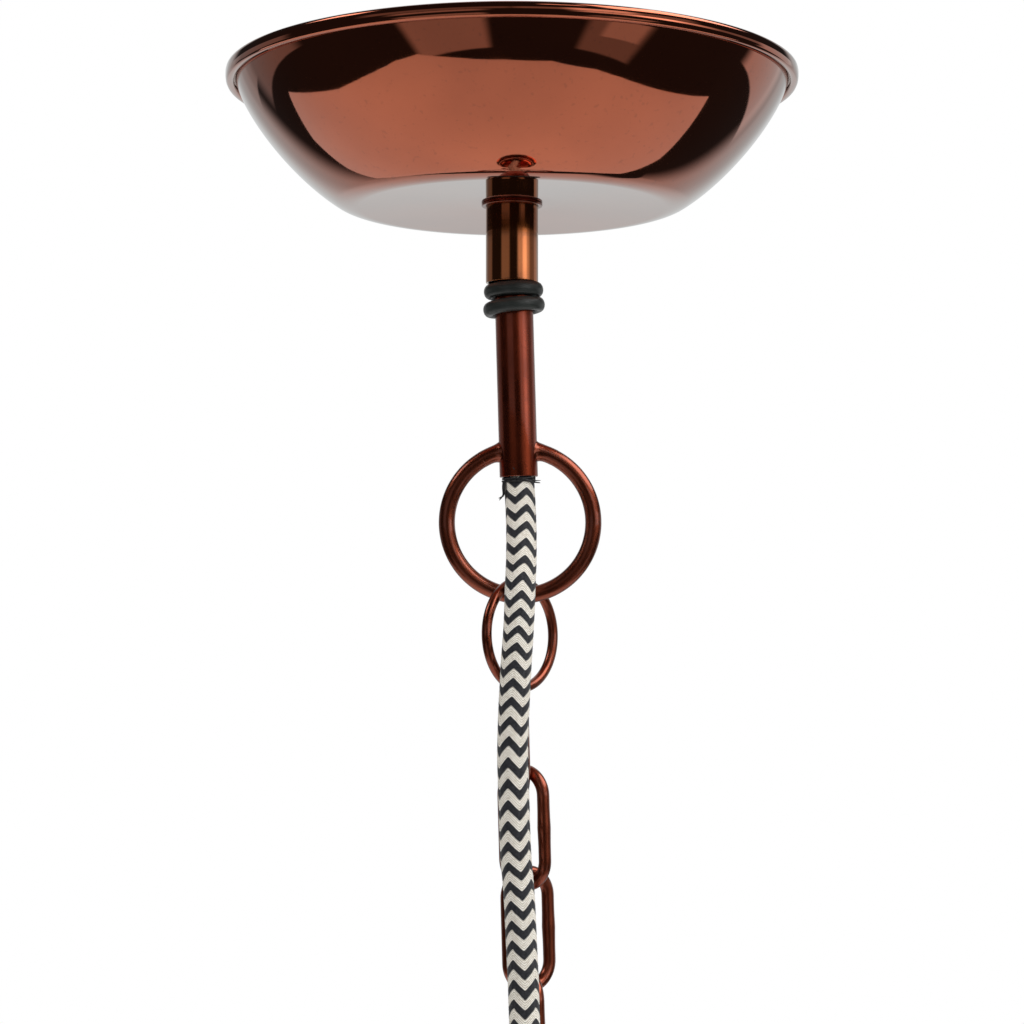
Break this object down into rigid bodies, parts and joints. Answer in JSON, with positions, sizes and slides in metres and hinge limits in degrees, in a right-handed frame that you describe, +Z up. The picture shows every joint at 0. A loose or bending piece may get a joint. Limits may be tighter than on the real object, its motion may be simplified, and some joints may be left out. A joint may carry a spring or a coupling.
{
  "type": "pendant suspension",
  "caption": "Ceiling canopy with slim stem, welded ring, chain and zigzag braided flex, carrying a screw lampholder for a hanging lantern",
  "frame": {"origin": "centre of the ceiling plate's top face, in the plane of the ceiling", "axes": "+Z up into the ceiling; the big ring lies in the XZ plane, the flex hangs in front of the chain at -Y"},
  "size_m": [0.12, 0.12, 0.2805],
  "materials": {
    "copper_dish": "spun steel with a glossy dark antique-copper plate under clear lacquer",
    "copper_sleeve": "lighter orange copper plate under clear lacquer",
    "copper_tube": "dark antique-copper plate with fine drawn lines",
    "copper_wire": "drawn wire in very dark antique-copper plate under clear lacquer",
    "rubber": "satin black moulded rubber",
    "braid": "cotton braid woven in a black and cream zigzag",
    "black_thread": "waxed black thread whipping",
    "zinc_steel": "bright zinc plate",
    "brass": "plain brass",
    "block_plastic": "natural polyamide",
    "porcelain": "white glazed porcelain",
    "black_plastic": "fine moulded black nylon",
    "core_brown": "brown silicone insulation",
    "core_blue": "blue insulation",
    "core_green_yellow": "green and yellow striped insulation"
  },
  "bodies": {
    "ceiling": {"ceiling_plate": "zinc_steel", "ceiling_hook": "zinc_steel", "terminal_body": "block_plastic", "terminal_inserts": "brass", "terminal_screws": "zinc_steel", "earth_screw": "brass", "core_brown": "core_brown", "core_blue": "core_blue", "core_earth": "core_green_yellow"},
    "stem": {"stem_tube": "copper_tube", "stem_stirrup": "zinc_steel", "big_ring": "copper_wire", "ring_welds": "copper_wire", "flex_whipping": "black_thread", "flex_in_stem": "braid"},
    "canopy": {"canopy_dish": "copper_dish", "canopy_sleeve": "copper_sleeve", "sleeve_washer": "copper_wire", "sleeve_nut": "zinc_steel"},
    "o_rings": {"upper_o_ring": "rubber", "lower_o_ring": "rubber"},
    "small_ring": {"small_ring": "copper_wire", "flex_by_ring": "braid"},
    "link_1": {"link_1": "copper_wire", "flex_by_link_1": "braid"},
    "link_2": {"link_2": "copper_wire", "flex_by_link_2": "braid"},
    "link_3": {"link_3": "copper_wire", "flex_by_link_3": "braid"},
    "link_4": {"link_4": "copper_wire", "flex_by_link_4": "braid"},
    "lampholder": {"hanging_eye": "copper_wire", "eye_nut": "zinc_steel", "holder_cap": "copper_dish", "cord_grip": "black_plastic", "flex_to_holder": "braid", "holder_cores": "core_brown", "holder_body": "copper_dish", "holder_insert": "porcelain", "screw_shell": "brass", "centre_contact": "brass", "holder_screws": "brass"},
    "shade_ring": {"shade_ring": "copper_dish"}
  },
  "joints": [
    {"name": "hook_swing", "type": "hinge", "parent": "ceiling", "child": "stem", "pos_m": [-0.0006, 0, -0.01225], "axis": [0, 1, 0], "range_deg": [-1.4, 4.6], "deforming": ["core_brown", "core_blue", "core_earth"]},
    {"name": "canopy_slide", "type": "slide", "parent": "stem", "child": "canopy", "axis": [0.0279, 0, -0.9996], "range_m": [0, 0.022]},
    {"name": "o_ring_slide", "type": "slide", "parent": "stem", "child": "o_rings", "axis": [0.0279, 0, -0.9996], "range_m": [0, 0.022]},
    {"name": "small_ring_swing", "type": "hinge", "parent": "stem", "child": "small_ring", "pos_m": [0.00152, 0, -0.10958], "axis": [0.9996, 0, 0.0279], "range_deg": [-20, 20], "deforming": ["flex_by_ring"]},
    {"name": "link_1_swing", "type": "hinge", "parent": "small_ring", "child": "link_1", "pos_m": [0.00185, 0, -0.12871], "axis": [0.6291, 0.7771, 0.0176], "range_deg": [-12, 12], "deforming": ["flex_by_link_1"]},
    {"name": "link_2_swing", "type": "hinge", "parent": "link_1", "child": "link_2", "pos_m": [0.00228, 0, -0.14925], "axis": [-0.0697, 0.9976, -0.0019], "range_deg": [-12, 12], "deforming": ["flex_by_link_2"]},
    {"name": "link_3_swing", "type": "hinge", "parent": "link_2", "child": "link_3", "pos_m": [0.00294, 0, -0.16946], "axis": [0.7877, -0.6157, 0.022], "range_deg": [-12, 12], "deforming": ["flex_by_link_3"]},
    {"name": "link_4_swing", "type": "hinge", "parent": "link_3", "child": "link_4", "pos_m": [0.00343, 0, -0.1904], "axis": [0.8188, 0.5736, 0.0229], "range_deg": [-12, 12], "deforming": ["flex_by_link_4"]},
    {"name": "lampholder_swing", "type": "hinge", "parent": "link_4", "child": "lampholder", "pos_m": [0.00406, 0, -0.21133], "axis": [0.4066, -0.9135, 0.0114], "range_deg": [-12, 12], "deforming": ["flex_to_holder"]},
    {"name": "shade_ring_slide", "type": "slide", "parent": "lampholder", "child": "shade_ring", "axis": [-0.0279, 0, 0.9996], "range_m": [-0.004, 0.007]}
  ],
  "couplings": [
    {"joint": "o_ring_slide", "follows": "canopy_slide", "ratio": 1}
  ]
}
